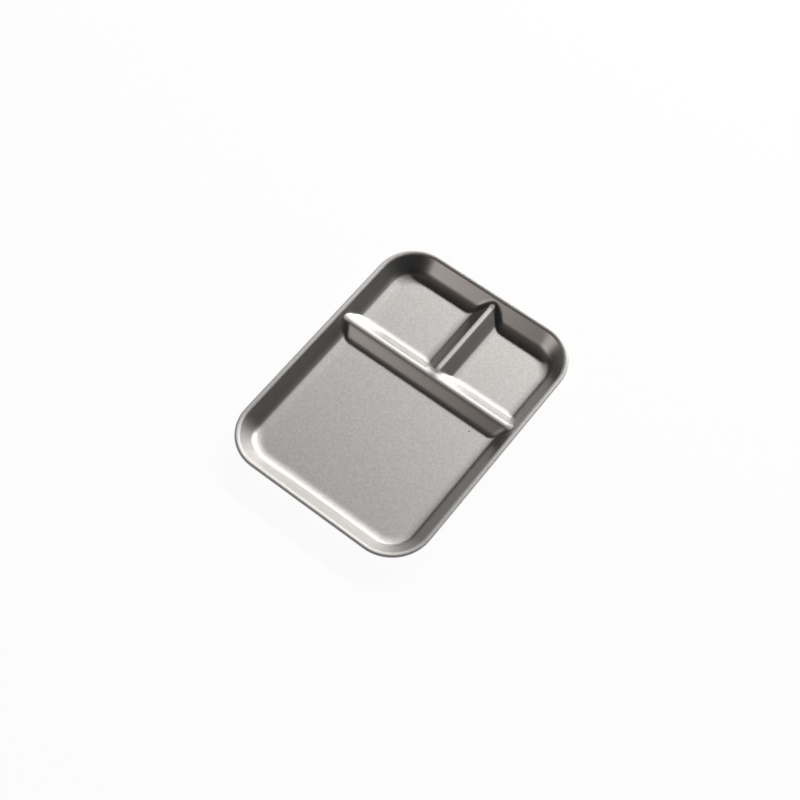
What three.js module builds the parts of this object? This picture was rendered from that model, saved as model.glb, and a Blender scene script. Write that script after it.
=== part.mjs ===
// Compartment tray pressed from one steel sheet, its edge rolled around a stiffening wire.
// Millimetres, +Z up. +Y points at the two small compartments, and -Y at the large one.
// The origin lies on the surface that the tray stands on, under the middle of its outline.
import * as THREE from "three";

const degrees = THREE.MathUtils.degToRad;

// Overall size, measured over the rolled rim
const LENGTH = 250;
const WIDTH = 188;
const HEIGHT = 15;
const CORNER_RADIUS = 37;

// Sheet, and the wire inside the rim
const SHEET = 0.6;
const WIRE_DIAMETER = 1.2;
const WIRE_CLEARANCE = 0.3;
const WIRE_JOINT_GAP = 0.8;
const CURL_OPENING = degrees(110);

// Outer wall, leaning out from the floor, with a round shoulder below the rim
const WALL_ANGLE = degrees(48);
const WALL_FOOT_WIDTH = 12.5;
const SHOULDER_RADIUS = 4;

// How a foot turns out of the floor: as a power of the way along it, so slowly at first
const FOOT_EASE = 2.6;

// Divider across the tray, and the shorter one between the two small compartments
const DIVIDER_ANGLE = degrees(38);
const CROSS_FROM_FAR_EDGE = 93.9;
const CROSS_HEIGHT = 8.6;
const CROSS_CREST_RADIUS = 5;
const CROSS_FOOT_WIDTH = 7;
const CENTRE_FROM_LEFT_EDGE = 99.6;
const CENTRE_HEIGHT = 9.8;
const CENTRE_CREST_RADIUS = 4.2;
const CENTRE_FOOT_WIDTH = 10;
const CENTRE_SHORT_OF_CROSS = 8;

// How far above and below the line where two slopes meet the press rounds the valley. Along the
// outer wall the valley has no width under the rim, and widens by this share of the way in from there.
const DIVIDER_VALLEY = 10;
const WALL_VALLEY_SPREAD = 1.85;

// Facets
const CORNER_STEPS = 8;
const FOOT_STEPS = 4;
const WALL_STEPS = 4;
const CREST_STEPS = 2;
const SLOPE_STEPS = 1;
const BEAD_STEPS = 3;
const SHOULDER_STEPS = 4;
const WIRE_SIDES = 8;
const WIRE_STEP_LENGTH = 6.5;

const BEAD_RADIUS = WIRE_DIAMETER / 2 + WIRE_CLEARANCE + SHEET;
const BEAD_CENTRE_Z = HEIGHT - BEAD_RADIUS;
const CROSS_Y = LENGTH / 2 - CROSS_FROM_FAR_EDGE;
const CENTRE_X = CENTRE_FROM_LEFT_EDGE - WIDTH / 2;
const STRAIGHT_X = WIDTH / 2 - CORNER_RADIUS;
const STRAIGHT_Y = LENGTH / 2 - CORNER_RADIUS;

// Evenly spaced values from one end to the other, both included
function spread(from, to, steps) {
  return Array.from({ length: steps + 1 }, (_, i) => from + ((to - from) * i) / steps);
}

// Height of a foot above the floor, at a distance in from its edge on the floor. Over its whole width
// it turns up to a slope of the given angle.
function footHeight(distance, width, angle) {
  return ((Math.tan(angle) * width) / FOOT_EASE) * (distance / width) ** FOOT_EASE;
}

// Outer wall in section. "inset" is the distance inwards from the outline, with heights above the floor.
const wallTop = {
  inset: BEAD_RADIUS + SHOULDER_RADIUS * Math.sin(WALL_ANGLE),
  height: HEIGHT - SHOULDER_RADIUS * (1 - Math.cos(WALL_ANGLE)) - SHEET,
};
const wallFoot = { rise: footHeight(WALL_FOOT_WIDTH, WALL_FOOT_WIDTH, WALL_ANGLE) };
wallFoot.start = wallTop.inset + (wallTop.height - wallFoot.rise) / Math.tan(WALL_ANGLE);
wallFoot.end = wallFoot.start + WALL_FOOT_WIDTH;

function wallHeight(inset) {
  if (inset >= wallFoot.end) return 0;
  if (inset < wallFoot.start) return wallFoot.rise + (wallFoot.start - inset) * Math.tan(WALL_ANGLE);
  return footHeight(wallFoot.end - inset, WALL_FOOT_WIDTH, WALL_ANGLE);
}

// Divider in section: a round crest, a straight slope and a hollow foot on each side
function dividerSection(height, crestRadius, footWidth) {
  const crestRun = crestRadius * Math.sin(DIVIDER_ANGLE);
  const crestRise = crestRadius * (1 - Math.cos(DIVIDER_ANGLE));
  const footRise = footHeight(footWidth, footWidth, DIVIDER_ANGLE);
  const footStart = crestRun + (height - crestRise - footRise) / Math.tan(DIVIDER_ANGLE);
  const footEnd = footStart + footWidth;
  const crestCentre = height - crestRadius;
  return {
    stops: [
      ...spread(0, crestRun, CREST_STEPS),
      ...spread(crestRun, footStart, SLOPE_STEPS).slice(1),
      ...spread(footStart, footEnd, FOOT_STEPS).slice(1),
    ],
    heightAt(distance) {
      if (distance >= footEnd) return 0;
      if (distance < crestRun) return crestCentre + Math.sqrt(crestRadius ** 2 - distance ** 2);
      if (distance < footStart) return footRise + (footStart - distance) * Math.tan(DIVIDER_ANGLE);
      return footHeight(footEnd - distance, footWidth, DIVIDER_ANGLE);
    },
  };
}
const cross = dividerSection(CROSS_HEIGHT, CROSS_CREST_RADIUS, CROSS_FOOT_WIDTH);
const centre = dividerSection(CENTRE_HEIGHT, CENTRE_CREST_RADIUS, CENTRE_FOOT_WIDTH);

// The higher of two slopes, rounded in the valley where they meet. On the floor nothing is added.
function join(a, b, valley) {
  const shared = (a * b) / (a + b || 1);
  const reach = (valley * shared) / (shared + valley / 4);
  const overlap = Math.max(0, reach - Math.abs(a - b));
  return Math.max(a, b) + (reach > 0 ? overlap ** 2 / (4 * reach) : 0);
}

// Distance inwards from the tray's outline
function insetAt(x, y) {
  const outsideX = Math.abs(x) - STRAIGHT_X;
  const outsideY = Math.abs(y) - STRAIGHT_Y;
  const fromCorner = Math.hypot(Math.max(outsideX, 0), Math.max(outsideY, 0));
  return CORNER_RADIUS - fromCorner - Math.min(Math.max(outsideX, outsideY), 0);
}

function heightAt(x, y) {
  const crossHeight = cross.heightAt(Math.abs(y - CROSS_Y));
  const pastEnd = Math.max(CROSS_Y + CENTRE_SHORT_OF_CROSS - y, 0);
  const centreHeight = centre.heightAt(Math.hypot(x - CENTRE_X, pastEnd));
  const dividers = join(crossHeight, centreHeight, DIVIDER_VALLEY);
  const inset = insetAt(x, y);
  return join(wallHeight(inset), dividers, WALL_VALLEY_SPREAD * Math.max(inset - wallTop.inset, 0));
}

// A point of the sheet: its upper face, and its lower face one sheet thickness behind it
function sheetPoint(upper, normal) {
  return { upper, lower: upper.clone().addScaledVector(normal, -SHEET) };
}

function pressedPoint(x, y) {
  const span = SHEET / 50;
  const slopeX = (heightAt(x + span, y) - heightAt(x - span, y)) / (2 * span);
  const slopeY = (heightAt(x, y + span) - heightAt(x, y - span)) / (2 * span);
  const normal = new THREE.Vector3(-slopeX, -slopeY, 1).normalize();
  return sheetPoint(new THREE.Vector3(x, y, SHEET + heightAt(x, y)), normal);
}

// "turn" is measured from straight up towards the middle of the tray. The shoulder runs from the wall to
// the top of the rim, and the curl from there around the wire, by its outermost line, to the sheet's edge.
const curlStretches = [CURL_OPENING - 2 * Math.PI, -Math.PI, -Math.PI / 2, 0];
const curlTurns = curlStretches.flatMap((turn, i) =>
  i ? spread(curlStretches[i - 1], turn, BEAD_STEPS).slice(1) : [turn],
);
const shoulderTurns = spread(0, WALL_ANGLE, SHOULDER_STEPS).slice(1);

function bentPoint(station, turn, radius) {
  const level = station.inward.clone().multiplyScalar(Math.sin(turn));
  const normal = new THREE.Vector3(level.x, level.y, Math.cos(turn));
  const under = station.point.clone().addScaledVector(station.inward, BEAD_RADIUS);
  const upper = new THREE.Vector3(under.x, under.y, HEIGHT - radius).addScaledVector(normal, radius);
  return sheetPoint(upper, normal);
}

// Lines of the mesh across the tray, close together on the dividers
function linesAcross(position, stops, end) {
  const before = stops.slice(1).map((stop) => position - stop);
  const onDivider = [...before, ...stops.map((stop) => position + stop)];
  const inside = onDivider.filter((line) => Math.abs(line) < end);
  return [-end, ...inside.sort((a, b) => a - b), end];
}
const linesX = linesAcross(CENTRE_X, centre.stops, STRAIGHT_X);
const linesY = linesAcross(CROSS_Y, cross.stops, STRAIGHT_Y);

// Stations around the outline, anticlockwise, each with its point and the way inwards from it
function outlineStations() {
  const stations = [];
  const add = (x, y, inwardX, inwardY) => {
    stations.push({ point: new THREE.Vector2(x, y), inward: new THREE.Vector2(inwardX, inwardY) });
  };
  const corner = (signX, signY, startAngle) => {
    for (const angle of spread(startAngle, startAngle + Math.PI / 2, CORNER_STEPS).slice(1, -1)) {
      const outX = Math.cos(angle);
      const outY = Math.sin(angle);
      const x = signX * STRAIGHT_X + CORNER_RADIUS * outX;
      const y = signY * STRAIGHT_Y + CORNER_RADIUS * outY;
      add(x, y, -outX, -outY);
    }
  };
  linesX.forEach((x) => add(x, -LENGTH / 2, 0, 1));
  corner(1, -1, -Math.PI / 2);
  linesY.forEach((y) => add(WIDTH / 2, y, -1, 0));
  corner(1, 1, 0);
  linesX.toReversed().forEach((x) => add(x, LENGTH / 2, 0, -1));
  corner(-1, 1, Math.PI / 2);
  linesY.toReversed().forEach((y) => add(-WIDTH / 2, y, 1, 0));
  corner(-1, -1, Math.PI);
  return stations;
}

// Section of the sheet at one station, from the edge of the curl over the rim and down the wall to the floor
function sectionAt(station) {
  const curl = curlTurns.map((turn) => bentPoint(station, turn, BEAD_RADIUS));
  const shoulder = shoulderTurns.map((turn) => bentPoint(station, turn, SHOULDER_RADIUS));
  const wall = spread(wallTop.inset, wallFoot.start, WALL_STEPS).slice(1);
  const foot = spread(wallFoot.start, wallFoot.end, FOOT_STEPS).slice(1);
  const pressed = [...wall, ...foot, CORNER_RADIUS].map((inset) => {
    const at = station.point.clone().addScaledVector(station.inward, inset);
    return pressedPoint(at.x, at.y);
  });
  return [...curl, ...shoulder, ...pressed];
}

function trayPan() {
  const corners = [];
  const triangle = (a, b, c) => {
    const flat = a.distanceTo(b) * b.distanceTo(c) * c.distanceTo(a);
    if (flat > 1e-6) corners.push(a, b, c);
  };
  const quad = (a, b, c, d) => {
    triangle(a, b, c);
    triangle(a, c, d);
  };
  const patch = (a, b, c, d) => {
    quad(a.upper, b.upper, c.upper, d.upper);
    quad(d.lower, c.lower, b.lower, a.lower);
  };

  const sections = outlineStations().map(sectionAt);
  sections.forEach((section, i) => {
    const next = sections[(i + 1) % sections.length];
    for (let j = 0; j + 1 < section.length; j++) patch(section[j], next[j], next[j + 1], section[j + 1]);
    quad(section[0].lower, next[0].lower, next[0].upper, section[0].upper);
  });

  const floor = linesX.map((x) => linesY.map((y) => pressedPoint(x, y)));
  for (let i = 0; i + 1 < linesX.length; i++) {
    for (let j = 0; j + 1 < linesY.length; j++) {
      patch(floor[i][j], floor[i + 1][j], floor[i + 1][j + 1], floor[i][j + 1]);
    }
  }
  return new THREE.BufferGeometry().setFromPoints(corners);
}

// Middle line of the wire, once around inside the rim, from one butted end to the other
class WireRoute extends THREE.Curve {
  constructor() {
    super();
    const radius = CORNER_RADIUS - BEAD_RADIUS;
    const side = STRAIGHT_X + radius;
    this.outline = new THREE.Path().moveTo(side, WIRE_JOINT_GAP / 2);
    this.outline.absarc(STRAIGHT_X, STRAIGHT_Y, radius, 0, Math.PI / 2);
    this.outline.absarc(-STRAIGHT_X, STRAIGHT_Y, radius, Math.PI / 2, Math.PI);
    this.outline.absarc(-STRAIGHT_X, -STRAIGHT_Y, radius, Math.PI, 1.5 * Math.PI);
    this.outline.absarc(STRAIGHT_X, -STRAIGHT_Y, radius, -Math.PI / 2, 0);
    this.outline.lineTo(side, -WIRE_JOINT_GAP / 2);
  }
  getPoint(t) {
    const at = this.outline.getPointAt(t);
    return new THREE.Vector3(at.x, at.y, BEAD_CENTRE_Z);
  }
}

function rimWire() {
  const route = new WireRoute();
  const section = new THREE.Shape().absarc(0, 0, WIRE_DIAMETER / 2, 0, 2 * Math.PI);
  return new THREE.ExtrudeGeometry(section, {
    extrudePath: route,
    steps: Math.round(route.getLength() / WIRE_STEP_LENGTH),
    curveSegments: WIRE_SIDES / 2,
  });
}

function piece(name, geometry, color, roughness) {
  const mesh = new THREE.Mesh(geometry, new THREE.MeshStandardMaterial({ color, roughness, metalness: 1 }));
  mesh.name = name;
  return mesh;
}

const tray = new THREE.Group();
tray.add(piece("tray_pan", trayPan(), 0xb4b1ad, 0.5));
tray.add(piece("rim_wire", rimWire(), 0x8f8d8a, 0.4));

export default tray;
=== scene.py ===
"""A pressed stainless lunch tray with three compartments and a wired rim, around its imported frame."""
import math

import bmesh
import bpy
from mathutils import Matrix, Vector


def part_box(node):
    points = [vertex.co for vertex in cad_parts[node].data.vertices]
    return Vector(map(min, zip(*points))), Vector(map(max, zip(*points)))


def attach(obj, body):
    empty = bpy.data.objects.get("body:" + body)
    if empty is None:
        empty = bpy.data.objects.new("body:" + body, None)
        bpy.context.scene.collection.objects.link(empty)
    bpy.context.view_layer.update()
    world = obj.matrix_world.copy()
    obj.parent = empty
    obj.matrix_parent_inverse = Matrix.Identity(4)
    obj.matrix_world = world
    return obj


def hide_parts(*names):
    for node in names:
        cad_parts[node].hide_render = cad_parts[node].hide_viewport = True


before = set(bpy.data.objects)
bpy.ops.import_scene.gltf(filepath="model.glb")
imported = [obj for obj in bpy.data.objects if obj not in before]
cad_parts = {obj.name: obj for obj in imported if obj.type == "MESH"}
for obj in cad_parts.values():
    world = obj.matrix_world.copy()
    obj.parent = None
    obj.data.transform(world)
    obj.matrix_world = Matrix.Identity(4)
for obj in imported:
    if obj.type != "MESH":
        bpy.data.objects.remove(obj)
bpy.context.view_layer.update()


# Pressed pan
# One blank of 0.6 mm stainless sheet. A press forms the floor, the leaning walls and the hollow dividers in
# one stroke. The blank's edge is then turned over a round shoulder and curled around a wire, and the whole
# pressing is tumbled.

MM = 0.001
SHEET = 0.6 * MM
BEAD_RADIUS = 1.5 * MM
SHOULDER_RADIUS = 4.0 * MM
CORNER_RADIUS = 37 * MM
CURL_OPENING = math.radians(110)
WALL_ANGLE = math.radians(48)
WALL_FOOT_WIDTH = 12.5 * MM
FOOT_EASE = 2.6
CROSS_FROM_FAR_EDGE = 93.9 * MM
CROSS_HEIGHT = 8.6 * MM
CENTRE_FROM_LEFT_EDGE = 99.6 * MM
CENTRE_HEIGHT = 9.8 * MM
CENTRE_SHORT_OF_CROSS = 8.0 * MM
DIVIDER_ANGLE = math.radians(38)
CROSS_CREST_RADIUS = 5.0 * MM
CROSS_FOOT_WIDTH = 7.0 * MM
CENTRE_CREST_RADIUS = 4.2 * MM
CENTRE_FOOT_WIDTH = 10.0 * MM
WALL_VALLEY_SPREAD = 1.85
DIVIDER_VALLEY = 10 * MM

pan_low, pan_high = (Vector(corner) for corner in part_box("tray_pan"))
straight_x = pan_high.x - CORNER_RADIUS
straight_y = pan_high.y - CORNER_RADIUS
cross_y = pan_high.y - CROSS_FROM_FAR_EDGE
centre_x = pan_low.x + CENTRE_FROM_LEFT_EDGE

# The wall in section, as distances inwards from the outline
shoulder_start = BEAD_RADIUS + SHOULDER_RADIUS * math.sin(WALL_ANGLE)
wall_rise = pan_high.z - SHOULDER_RADIUS * (1 - math.cos(WALL_ANGLE)) - SHEET
wall_foot_start = shoulder_start + wall_rise / math.tan(WALL_ANGLE) - WALL_FOOT_WIDTH / FOOT_EASE
wall_foot_end = wall_foot_start + WALL_FOOT_WIDTH
shoulder_length = SHOULDER_RADIUS * WALL_ANGLE
curl_start = shoulder_start - shoulder_length
curl_edge = curl_start - BEAD_RADIUS * (2 * math.pi - CURL_OPENING)


def divider_section(height, crest_radius, foot_width):
    """Distances from the crest line at which the slope starts, and the eased foot starts and ends."""
    crest_run = crest_radius * math.sin(DIVIDER_ANGLE)
    slope_rise = height - crest_radius * (1 - math.cos(DIVIDER_ANGLE))
    foot_start = crest_run + slope_rise / math.tan(DIVIDER_ANGLE) - foot_width / FOOT_EASE
    return crest_run, foot_start, foot_start + foot_width


cross_section = divider_section(CROSS_HEIGHT, CROSS_CREST_RADIUS, CROSS_FOOT_WIDTH)
centre_section = divider_section(CENTRE_HEIGHT, CENTRE_CREST_RADIUS, CENTRE_FOOT_WIDTH)


# How finely the blank is divided over each bend
CREST_STEPS = 6
SLOPE_STEPS = 4
DIVIDER_FOOT_STEPS = 12
FLOOR_STEPS = 8
CORNER_STEPS = 24
CURL_STEPS = 24
SHOULDER_STEPS = 14
WALL_STEPS = 10
WALL_FOOT_STEPS = 16
FLOOR_EDGE_STEPS = 3
WELD_DISTANCE = 0.001 * MM


def spread(start, end, steps):
    """Evenly spaced values from start to end, without the start."""
    return [start + (end - start) * (i + 1) / steps for i in range(steps)]


def lines_across(crest, section, end):
    """Lines of the blank between two ends, close together where it is bent over a divider."""
    crest_run, foot_start, foot_end = section
    half = spread(0, crest_run, CREST_STEPS) + spread(crest_run, foot_start, SLOPE_STEPS)
    half += spread(foot_start, foot_end, DIVIDER_FOOT_STEPS)
    on_divider = [crest - line for line in reversed(half)] + [crest] + [crest + line for line in half]
    before = [-end] + spread(-end, on_divider[0], FLOOR_STEPS)[:-1]
    after = spread(on_divider[-1], end, FLOOR_STEPS)
    return before + on_divider + after


lines_x = lines_across(centre_x, centre_section, straight_x)
lines_y = lines_across(cross_y, cross_section, straight_y)


def corner_fan(x, y, start):
    """Directions around a corner of the outline, all from the corner's own centre."""
    angles = [math.radians(start + 90 * (i + 1) / CORNER_STEPS) for i in range(CORNER_STEPS - 1)]
    return [(x, y, math.cos(angle), math.sin(angle)) for angle in angles]


def flat_blank():
    """The blank before pressing: a flat sheet that overhangs the tray's outline by what the curl takes up."""
    ring = [(x, -straight_y, 0, -1) for x in lines_x] + corner_fan(straight_x, -straight_y, -90)
    ring += [(straight_x, y, 1, 0) for y in lines_y] + corner_fan(straight_x, straight_y, 0)
    ring += [(x, straight_y, 0, 1) for x in reversed(lines_x)] + corner_fan(-straight_x, straight_y, 90)
    ring += [(-straight_x, y, -1, 0) for y in reversed(lines_y)] + corner_fan(-straight_x, -straight_y, 180)
    insets = [curl_edge] + spread(curl_edge, curl_start, CURL_STEPS)
    insets += spread(curl_start, shoulder_start, SHOULDER_STEPS)
    insets += spread(shoulder_start, wall_foot_start, WALL_STEPS)
    insets += spread(wall_foot_start, wall_foot_end, WALL_FOOT_STEPS)
    insets += spread(wall_foot_end, CORNER_RADIUS, FLOOR_EDGE_STEPS)
    mesh = bmesh.new()
    rows = []
    for x, y, out_x, out_y in ring:
        reach = [CORNER_RADIUS - inset for inset in insets]
        rows.append([mesh.verts.new((x + out_x * r, y + out_y * r, 0)) for r in reach])
    floor = [[mesh.verts.new((x, y, 0)) for y in lines_y] for x in lines_x]
    for row, after in zip(rows, rows[1:] + rows[:1]):
        for j in range(len(insets) - 1):
            mesh.faces.new((row[j], after[j], after[j + 1], row[j + 1]))
    for row, after in zip(floor, floor[1:]):
        for j in range(len(lines_y) - 1):
            mesh.faces.new((row[j], after[j], after[j + 1], row[j + 1]))
    bmesh.ops.remove_doubles(mesh, verts=mesh.verts, dist=WELD_DISTANCE)
    data = bpy.data.meshes.new("tray_pan_pressed")
    mesh.to_mesh(data)
    mesh.free()
    return data


def add(tree, kind, *inputs, named=None, **settings):
    """Adds a node with its settings. An input is a value, a socket, or a node for its first output."""
    made = tree.nodes.new(kind)
    for name, value in settings.items():
        setattr(made, name, value)
    pairs = list(zip(made.inputs, inputs))
    pairs += [(made.inputs[key], value) for key, value in (named or {}).items()]
    for socket, value in pairs:
        if isinstance(value, bpy.types.Node):
            value = value.outputs[0]
        if isinstance(value, bpy.types.NodeSocket):
            tree.links.new(value, socket)
        elif value is not None:
            socket.default_value = value
    return made


press = bpy.data.node_groups.new("press_and_curl", "GeometryNodeTree")
press_sizes = {
    "Straight half width": straight_x,
    "Straight half length": straight_y,
    "Corner radius": CORNER_RADIUS,
    "Sheet": SHEET,
    "Rim height": pan_high.z,
    "Bead radius": BEAD_RADIUS,
    "Shoulder radius": SHOULDER_RADIUS,
    "Shoulder length": shoulder_length,
    "Shoulder start": shoulder_start,
    "Wall angle": WALL_ANGLE,
    "Wall foot start": wall_foot_start,
    "Wall foot end": wall_foot_end,
    "Foot ease": FOOT_EASE,
    "Cross place": cross_y,
    "Cross crest radius": CROSS_CREST_RADIUS,
    "Cross crest run": cross_section[0],
    "Cross foot start": cross_section[1],
    "Cross foot end": cross_section[2],
    "Centre place": centre_x,
    "Centre short of cross": CENTRE_SHORT_OF_CROSS,
    "Centre crest radius": CENTRE_CREST_RADIUS,
    "Centre crest run": centre_section[0],
    "Centre foot start": centre_section[1],
    "Centre foot end": centre_section[2],
    "Divider angle": DIVIDER_ANGLE,
    "Wall valley spread": WALL_VALLEY_SPREAD,
    "Divider valley": DIVIDER_VALLEY,
}
press.interface.new_socket("Blank", in_out="INPUT", socket_type="NodeSocketGeometry")
press.interface.new_socket("Pan", in_out="OUTPUT", socket_type="NodeSocketGeometry")
for name in press_sizes:
    press.interface.new_socket(name, in_out="INPUT", socket_type="NodeSocketFloat")
size = add(press, "NodeGroupInput").outputs


def flank(distance, foot_start, foot_end, angle):
    """Height of a straight slope with an eased foot, at a distance from its top."""
    steepness = add(press, "ShaderNodeMath", angle, operation="TANGENT")
    foot_width = add(press, "ShaderNodeMath", foot_end, foot_start, operation="SUBTRACT")
    into_foot = add(press, "ShaderNodeMath", foot_end, distance, operation="SUBTRACT")
    into_foot = add(press, "ShaderNodeMath", into_foot, foot_width, operation="DIVIDE")
    into_foot = add(press, "ShaderNodeClamp", into_foot, 0.0, 1.0)
    eased = add(press, "ShaderNodeMath", into_foot, size["Foot ease"], operation="POWER")
    foot_rise = add(press, "ShaderNodeMath", foot_width, size["Foot ease"], operation="DIVIDE")
    up_slope = add(press, "ShaderNodeMath", foot_start, distance, operation="SUBTRACT")
    up_slope = add(press, "ShaderNodeMath", up_slope, 0.0, operation="MAXIMUM")
    run = add(press, "ShaderNodeMath", eased, foot_rise, up_slope, operation="MULTIPLY_ADD")
    return add(press, "ShaderNodeMath", run, steepness, operation="MULTIPLY")


def divider(distance, which):
    """Height of a divider, a distance away from its crest line."""
    radius = size[which + " crest radius"]
    crest_run = size[which + " crest run"]
    off_crest = add(press, "ShaderNodeMath", distance, crest_run, operation="MAXIMUM")
    sides = flank(off_crest, size[which + " foot start"], size[which + " foot end"], size["Divider angle"])
    on_crest = add(press, "ShaderNodeMath", distance, crest_run, operation="MINIMUM")
    on_2 = add(press, "ShaderNodeMath", on_crest, 2.0, operation="POWER")
    radius_2 = add(press, "ShaderNodeMath", radius, 2.0, operation="POWER")
    over = add(press, "ShaderNodeMath", radius_2, on_2, operation="SUBTRACT")
    over = add(press, "ShaderNodeMath", over, operation="SQRT")
    edge = add(press, "ShaderNodeMath", size["Divider angle"], operation="COSINE")
    edge = add(press, "ShaderNodeMath", edge, radius, operation="MULTIPLY")
    crest = add(press, "ShaderNodeMath", over, edge, operation="SUBTRACT")
    return add(press, "ShaderNodeMath", sides, crest, operation="ADD")


def join(a, b, valley):
    """The higher of two slopes, rounded in the valley where they meet; flat floor stays flat."""
    product = add(press, "ShaderNodeMath", a, b, operation="MULTIPLY")
    total = add(press, "ShaderNodeMath", a, b, operation="ADD")
    shared = add(press, "ShaderNodeMath", product, total, operation="DIVIDE")
    quarter = add(press, "ShaderNodeMath", valley, 4.0, operation="DIVIDE")
    softened = add(press, "ShaderNodeMath", shared, quarter, operation="ADD")
    share = add(press, "ShaderNodeMath", shared, softened, operation="DIVIDE")
    reach = add(press, "ShaderNodeMath", share, valley, operation="MULTIPLY")
    apart = add(press, "ShaderNodeMath", a, b, operation="SUBTRACT")
    apart = add(press, "ShaderNodeMath", apart, operation="ABSOLUTE")
    overlap = add(press, "ShaderNodeMath", reach, apart, operation="SUBTRACT")
    overlap = add(press, "ShaderNodeMath", overlap, 0.0, operation="MAXIMUM")
    overlap_2 = add(press, "ShaderNodeMath", overlap, 2.0, operation="POWER")
    reach_4 = add(press, "ShaderNodeMath", reach, 4.0, operation="MULTIPLY")
    extra = add(press, "ShaderNodeMath", overlap_2, reach_4, operation="DIVIDE")
    higher = add(press, "ShaderNodeMath", a, b, operation="MAXIMUM")
    return add(press, "ShaderNodeMath", higher, extra, operation="ADD")


# Where a point of the blank lies: its distance inwards from the outline, and the way straight out
place = add(press, "GeometryNodeInputPosition")
limit = add(press, "ShaderNodeCombineXYZ", size["Straight half width"], size["Straight half length"], 0.0)
opposite = add(press, "ShaderNodeVectorMath", limit, (-1.0, -1.0, -1.0), operation="MULTIPLY")
centre = add(press, "ShaderNodeVectorMath", place, limit, operation="MINIMUM")
centre = add(press, "ShaderNodeVectorMath", centre, opposite, operation="MAXIMUM")
offset = add(press, "ShaderNodeVectorMath", place, centre, operation="SUBTRACT")
out = add(press, "ShaderNodeVectorMath", offset, operation="NORMALIZE")
from_centre = add(press, "ShaderNodeVectorMath", offset, operation="LENGTH").outputs["Value"]
inset = add(press, "ShaderNodeMath", size["Corner radius"], from_centre, operation="SUBTRACT")

# The press: the height of the floor, the wall and the two dividers under that point
xyz = add(press, "ShaderNodeSeparateXYZ", place).outputs
beside_cross = add(press, "ShaderNodeMath", xyz["Y"], size["Cross place"], operation="SUBTRACT")
from_cross = add(press, "ShaderNodeMath", beside_cross, operation="ABSOLUTE")
past_end = add(press, "ShaderNodeMath", beside_cross, size["Centre short of cross"], operation="SUBTRACT")
past_end = add(press, "ShaderNodeMath", past_end, 0.0, operation="MINIMUM")
beside_centre = add(press, "ShaderNodeMath", xyz["X"], size["Centre place"], operation="SUBTRACT")
to_centre = add(press, "ShaderNodeCombineXYZ", beside_centre, past_end, 0.0)
from_centre_line = add(press, "ShaderNodeVectorMath", to_centre, operation="LENGTH").outputs["Value"]
cross_height = divider(from_cross, "Cross")
centre_height = divider(from_centre_line, "Centre")
dividers = join(cross_height, centre_height, size["Divider valley"])
wall = flank(inset, size["Wall foot start"], size["Wall foot end"], size["Wall angle"])
below_rim = add(press, "ShaderNodeMath", inset, size["Shoulder start"], operation="SUBTRACT")
below_rim = add(press, "ShaderNodeMath", below_rim, 0.0, operation="MAXIMUM")
wall_valley = add(press, "ShaderNodeMath", size["Wall valley spread"], below_rim, operation="MULTIPLY")
height = join(wall, dividers, wall_valley)
upper_face = add(press, "ShaderNodeMath", height, size["Sheet"], operation="ADD")
pressed = add(press, "ShaderNodeCombineXYZ", xyz["X"], xyz["Y"], upper_face)

# The rim: what lies outside the wall's top turns over the shoulder, and then around the wire, unstretched
past_wall = add(press, "ShaderNodeMath", size["Shoulder start"], inset, operation="SUBTRACT")
past_top = add(press, "ShaderNodeMath", past_wall, size["Shoulder length"], operation="SUBTRACT")
over_top = add(press, "ShaderNodeMath", past_top, 0.0, operation="GREATER_THAN")
shoulder_turn = add(press, "ShaderNodeMath", past_wall, size["Shoulder radius"], operation="DIVIDE")
shoulder_turn = add(press, "ShaderNodeMath", size["Wall angle"], shoulder_turn, operation="SUBTRACT")
curl_turn = add(press, "ShaderNodeMath", past_top, size["Bead radius"], operation="DIVIDE")
curl_turn = add(press, "ShaderNodeMath", curl_turn, -1.0, operation="MULTIPLY")
turn = add(press, "GeometryNodeSwitch", over_top, shoulder_turn, curl_turn, input_type="FLOAT")
radius = add(press, "GeometryNodeSwitch", over_top, size["Shoulder radius"], size["Bead radius"],
             input_type="FLOAT")
sine = add(press, "ShaderNodeMath", turn, operation="SINE")
cosine = add(press, "ShaderNodeMath", turn, operation="COSINE")
inwards = add(press, "ShaderNodeMath", sine, radius, size["Bead radius"], operation="MULTIPLY_ADD")
outwards = add(press, "ShaderNodeMath", size["Corner radius"], inwards, operation="SUBTRACT")
bend_z = add(press, "ShaderNodeMath", size["Rim height"], radius, operation="SUBTRACT")
bead_z = add(press, "ShaderNodeMath", cosine, radius, bend_z, operation="MULTIPLY_ADD")
sideways = add(press, "ShaderNodeVectorMath", out, named={"Scale": outwards}, operation="SCALE")
upwards = add(press, "ShaderNodeCombineXYZ", 0.0, 0.0, bead_z)
curled = add(press, "ShaderNodeVectorMath", centre, sideways, operation="ADD")
curled = add(press, "ShaderNodeVectorMath", curled, upwards, operation="ADD")
is_curl = add(press, "ShaderNodeMath", past_wall, 0.0, operation="GREATER_THAN")
formed = add(press, "GeometryNodeSwitch", is_curl, pressed, curled, input_type="VECTOR")

shaped = add(press, "GeometryNodeSetPosition", size["Blank"], named={"Position": formed})
shaped = add(press, "GeometryNodeSetShadeSmooth", shaped)
shaped = add(press, "GeometryNodeRealizeInstances", shaped)


def linear(hex_colour):
    """An sRGB hex colour as the linear values that a shader takes."""
    parts = [int(hex_colour[i:i + 2], 16) / 255 for i in (1, 3, 5)]
    return tuple(c / 12.92 if c <= 0.04045 else ((c + 0.055) / 1.055) ** 2.4 for c in parts) + (1.0,)


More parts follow.
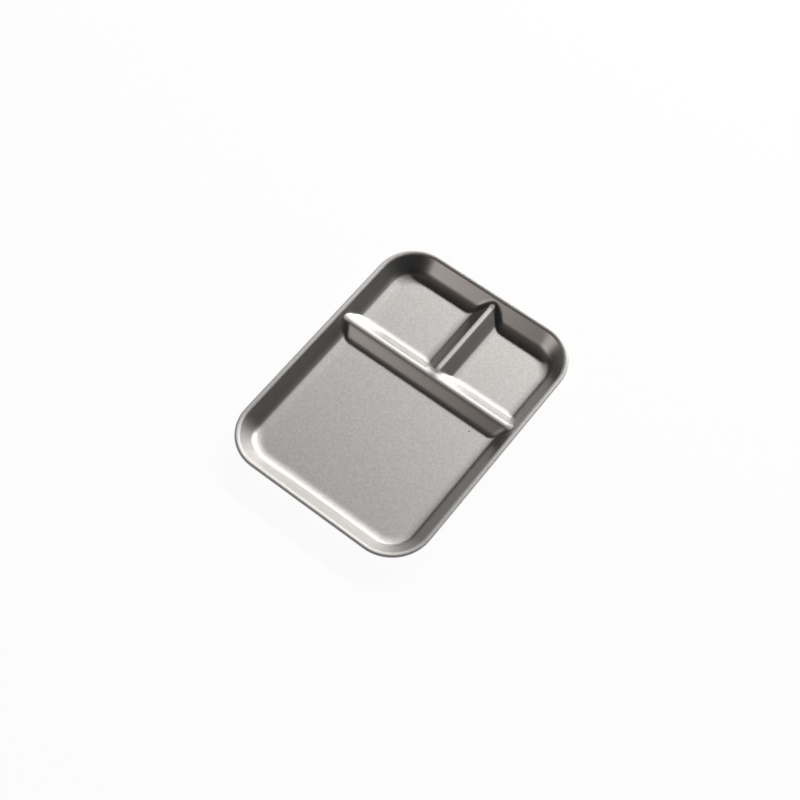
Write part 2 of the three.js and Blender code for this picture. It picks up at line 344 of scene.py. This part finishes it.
# Tumbled stainless steel: the pressing is rolled in a drum of stones, which leaves the flats a matt, faintly
# mottled grey with no direction. The die has rubbed the slopes smoother, so they hold a soft shine. The real
# dents are a tenth of a millimetre wide and are drawn coarser here, so that they show.
FLAT_ROUGHNESS = 0.69
SLOPE_ROUGHNESS = 0.35
RUB_LENGTH = 40 * MM
RUB_WIDTH = 2 * MM
RUB_ROUGHNESS = 0.03
RUBBED_FROM = math.radians(22)
RUBBED_TO = math.radians(33)
MATT_RIM = 0.8 * MM
DENT_SIZE = 1.9 * MM
DENT_DEPTH = 0.022 * MM
MOTTLE_SIZE = 2.1 * MM
SPECK_PLACE = Vector((58.0, 12.0, 0.9)) * MM
SPECK_RADIUS = 0.9 * MM
steel = bpy.data.materials.new("tumbled stainless steel")
steel.use_nodes = True
skin = steel.node_tree
surface = skin.nodes["Principled BSDF"]
surface.inputs["Metallic"].default_value = 1.0
at = add(skin, "ShaderNodeTexCoord").outputs
where = add(skin, "ShaderNodeSeparateXYZ", at["Object"]).outputs

# The matt parts, as against the slopes that the die has rubbed: 1 on the flats and the rim, 0 where it is steep
upright = add(skin, "ShaderNodeSeparateXYZ", at["Normal"]).outputs["Z"]
upright = add(skin, "ShaderNodeMath", upright, operation="ABSOLUTE")
level = add(skin, "ShaderNodeMapRange", upright, math.cos(RUBBED_FROM), math.cos(RUBBED_TO), 1.0, 0.0)
below_top = add(skin, "ShaderNodeMath", pan_high.z, where["Z"], operation="SUBTRACT")
on_rim = add(skin, "ShaderNodeMapRange", below_top, MATT_RIM, 2 * MATT_RIM, 1.0, 0.0)
matt = add(skin, "ShaderNodeMath", level, on_rim, operation="MAXIMUM")

# Colour: light and darker patches of the tumbled skin, and one dark speck in the large compartment. Its centre
# lies above the sheet, so that only the upper face takes it.
mottle = add(skin, "ShaderNodeTexNoise", at["Object"], named={"Scale": 1 / MOTTLE_SIZE, "Detail": 2.0})
mottle = add(skin, "ShaderNodeMapRange", matt, 0.0, 1.0, 0.5, mottle)
tone = add(skin, "ShaderNodeMix", mottle, data_type="RGBA",
           named={6: linear("#b7b6b5"), 7: linear("#d8d7d6")})
to_speck = add(skin, "ShaderNodeVectorMath", at["Object"], SPECK_PLACE, operation="DISTANCE").outputs["Value"]
speck = add(skin, "ShaderNodeMapRange", to_speck, SPECK_RADIUS / 2, SPECK_RADIUS, 1.0, 0.0)
specked = add(skin, "ShaderNodeMix", speck, data_type="RGBA",
              named={6: tone.outputs[2], 7: linear("#5c5a58")})
skin.links.new(specked.outputs[2], surface.inputs["Base Color"])

# Shine: dull on the matt parts, rubbed smoother in long faint streaks on the slopes
streaks = add(skin, "ShaderNodeVectorMath", at["Object"], (1 / RUB_LENGTH, 1 / RUB_LENGTH, 1 / RUB_WIDTH),
              operation="MULTIPLY")
rub = add(skin, "ShaderNodeTexNoise", streaks, named={"Scale": 1.0, "Detail": 1.0})
slope = add(skin, "ShaderNodeMath", rub, RUB_ROUGHNESS, SLOPE_ROUGHNESS, operation="MULTIPLY_ADD")
shine = add(skin, "ShaderNodeMapRange", matt, 0.0, 1.0, slope, FLAT_ROUGHNESS)
skin.links.new(shine.outputs[0], surface.inputs["Roughness"])

# Relief: the dents that the stones leave on the matt parts
dents = add(skin, "ShaderNodeTexNoise", at["Object"], named={"Scale": 1 / DENT_SIZE, "Detail": 1.0})
dents = add(skin, "ShaderNodeMath", dents, matt, operation="MULTIPLY")
bump = add(skin, "ShaderNodeBump", named={"Strength": 1.0, "Distance": DENT_DEPTH, "Height": dents})
skin.links.new(bump.outputs[0], surface.inputs["Normal"])

steel_pan = add(press, "GeometryNodeSetMaterial", shaped, named={"Material": steel})
add(press, "NodeGroupOutput", steel_pan)

pan = bpy.data.objects.new("tray_pan_pressed", flat_blank())
bpy.context.collection.objects.link(pan)
pressing = pan.modifiers.new("press", "NODES")
pressing.node_group = press
for socket in press.interface.items_tree:
    if socket.name in press_sizes:
        pressing[socket.identifier] = press_sizes[socket.name]
gauge = pan.modifiers.new("sheet gauge", "SOLIDIFY")
gauge.thickness = SHEET
gauge.offset = -1.0
evaluated = pan.evaluated_get(bpy.context.evaluated_depsgraph_get())
flat = pan.data
formed_mesh = bpy.data.meshes.new_from_object(evaluated)
pan.modifiers.clear()
pan.data = formed_mesh
bpy.data.meshes.remove(flat)
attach(pan, "root")
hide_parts("tray_pan")


# Rim wire
# A length of drawn steel wire bent to the outline, with its ends butted on the right side. The rim is curled
# around it, so it only shows through the slit under the curl.

# Drawn steel wire: the drawing die leaves fine bright lines along the wire. They are drawn coarser than they
# are, so that they show.
DRAWN_LINE_WIDTH = 0.25 * MM
DRAWN_LINE_DEPTH = 0.01 * MM
DULL_WIRE_ROUGHNESS = 0.5
BRIGHT_WIRE_ROUGHNESS = 0.3
wire_steel = bpy.data.materials.new("drawn steel wire")
wire_steel.use_nodes = True
drawn = wire_steel.node_tree
wire_surface = drawn.nodes["Principled BSDF"]
wire_surface.inputs["Metallic"].default_value = 1.0
on_wire = add(drawn, "ShaderNodeTexCoord").outputs["Object"]
wire_height = add(drawn, "ShaderNodeSeparateXYZ", on_wire).outputs["Z"]
lines = add(drawn, "ShaderNodeTexNoise", noise_dimensions="1D",
            named={"W": wire_height, "Scale": 1 / DRAWN_LINE_WIDTH, "Detail": 1.0})
wire_tone = add(drawn, "ShaderNodeMix", lines, data_type="RGBA",
                named={6: linear("#94928f"), 7: linear("#bcbab7")})
drawn.links.new(wire_tone.outputs[2], wire_surface.inputs["Base Color"])
wire_shine = add(drawn, "ShaderNodeMapRange", lines, 0.0, 1.0, DULL_WIRE_ROUGHNESS, BRIGHT_WIRE_ROUGHNESS)
drawn.links.new(wire_shine.outputs[0], wire_surface.inputs["Roughness"])
grooves = add(drawn, "ShaderNodeBump",
              named={"Strength": 1.0, "Distance": DRAWN_LINE_DEPTH, "Height": lines.outputs[0]})
drawn.links.new(grooves.outputs[0], wire_surface.inputs["Normal"])

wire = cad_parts["rim_wire"]
wire.data.materials.clear()
wire.data.materials.append(wire_steel)


# Studio
# A sheet of white paper that turns up a little at its far edge, a long strip lamp low behind the small
# compartments, and a warm panel in front. The camera looks down from the front and the right.
PAPER_RADIUS = 20.0
PAPER_FLAT_RADIUS = 16.0
PAPER_EDGE_HEIGHT = 1.0
PAPER_SIDES = 64
PAPER_STEPS = 6
rings = []
for step in range(PAPER_STEPS + 1):
    part = step / PAPER_STEPS
    radius = PAPER_FLAT_RADIUS + (PAPER_RADIUS - PAPER_FLAT_RADIUS) * part
    turns = [2 * math.pi * side / PAPER_SIDES for side in range(PAPER_SIDES)]
    rings.append([(radius * math.cos(t), radius * math.sin(t), PAPER_EDGE_HEIGHT * part ** 2) for t in turns])
sides = range(PAPER_SIDES)
paper_faces = [tuple(sides)]
for step in range(PAPER_STEPS):
    start, after = step * PAPER_SIDES, (step + 1) * PAPER_SIDES
    for i in sides:
        j = (i + 1) % PAPER_SIDES
        paper_faces.append((start + i, after + i, after + j, start + j))
floor_mesh = bpy.data.meshes.new("studio_floor")
floor_mesh.from_pydata([point for ring in rings for point in ring], [], paper_faces)
floor_mesh.shade_smooth()
floor = bpy.data.objects.new("studio_floor", floor_mesh)
bpy.context.collection.objects.link(floor)

# White paper: it shows as plain white to the eye and in the steel, and still takes a trace of the tray's shadow
PAPER_WHITE_SHARE = 0.95
paper = bpy.data.materials.new("white paper")
paper.use_nodes = True
sheet = paper.node_tree
sheet.nodes.clear()
ray = add(sheet, "ShaderNodeLightPath").outputs
seen = add(sheet, "ShaderNodeMath", ray["Is Camera Ray"], ray["Is Glossy Ray"], operation="ADD")
seen = add(sheet, "ShaderNodeMath", seen, ray["Is Transmission Ray"], operation="ADD")
share = add(sheet, "ShaderNodeMath", seen, PAPER_WHITE_SHARE, operation="MULTIPLY")
lit = add(sheet, "ShaderNodeBsdfDiffuse", linear("#f3f3f3"))
plain = add(sheet, "ShaderNodeEmission", linear("#ffffff"), 1.0)
mixed = add(sheet, "ShaderNodeMixShader", share, lit, plain)
add(sheet, "ShaderNodeOutputMaterial", mixed)
floor_mesh.materials.append(paper)

world = bpy.data.worlds.new("studio")
bpy.context.scene.world = world
world.use_nodes = True
world.node_tree.nodes["Background"].inputs["Color"].default_value = linear("#262626")


def lamp(name, place, target, width, depth, power, colour):
    """A rectangular lamp at a place, turned to face a target."""
    data = bpy.data.lights.new(name, "AREA")
    data.shape = "RECTANGLE"
    data.size = width
    data.size_y = depth
    data.energy = power
    data.color = linear(colour)[:3]
    made = bpy.data.objects.new(name, data)
    made.location = place
    made.rotation_euler = (Vector(target) - Vector(place)).to_track_quat("-Z", "Y").to_euler()
    made.visible_camera = False
    bpy.context.collection.objects.link(made)


def around(azimuth, elevation, distance):
    """A place seen from the tray: degrees from straight behind towards the left, degrees up, metres away."""
    turn, up = math.radians(azimuth), math.radians(elevation)
    return Vector((-math.sin(turn) * math.cos(up), math.cos(turn) * math.cos(up), math.sin(up))) * distance


lamp("back_strip", place=(-0.05, 1.696, 1.060), target=(-0.05, 0.0, 0.0), width=1.9, depth=0.1,
     power=56.0, colour="#fffdfa")
lamp("front_panel", place=around(azimuth=145, elevation=25, distance=1.5), target=(0.0, 0.0, 0.0),
     width=0.8, depth=0.5, power=2.1, colour="#fff3ec")

CAMERA_AZIMUTH = math.radians(37.86)
CAMERA_ELEVATION = math.radians(61.89)
CAMERA_DISTANCE = 1144.8 * MM
CAMERA_TARGET = Vector((-0.15, -4.83, 12.6)) * MM
FOCAL_LENGTH_PIXELS = 1406.9
IMAGE_PIXELS = 800
back = Vector((math.sin(CAMERA_AZIMUTH) * math.cos(CAMERA_ELEVATION),
               -math.cos(CAMERA_AZIMUTH) * math.cos(CAMERA_ELEVATION),
               math.sin(CAMERA_ELEVATION)))
camera_data = bpy.data.cameras.new("camera")
camera_data.sensor_width = 36.0
camera_data.lens = camera_data.sensor_width * FOCAL_LENGTH_PIXELS / IMAGE_PIXELS
camera = bpy.data.objects.new("camera", camera_data)
camera.location = CAMERA_TARGET + back * CAMERA_DISTANCE
camera.rotation_euler = (-back).to_track_quat("-Z", "Y").to_euler()
bpy.context.collection.objects.link(camera)
bpy.context.scene.camera = camera
bpy.context.scene.view_settings.view_transform = "Standard"
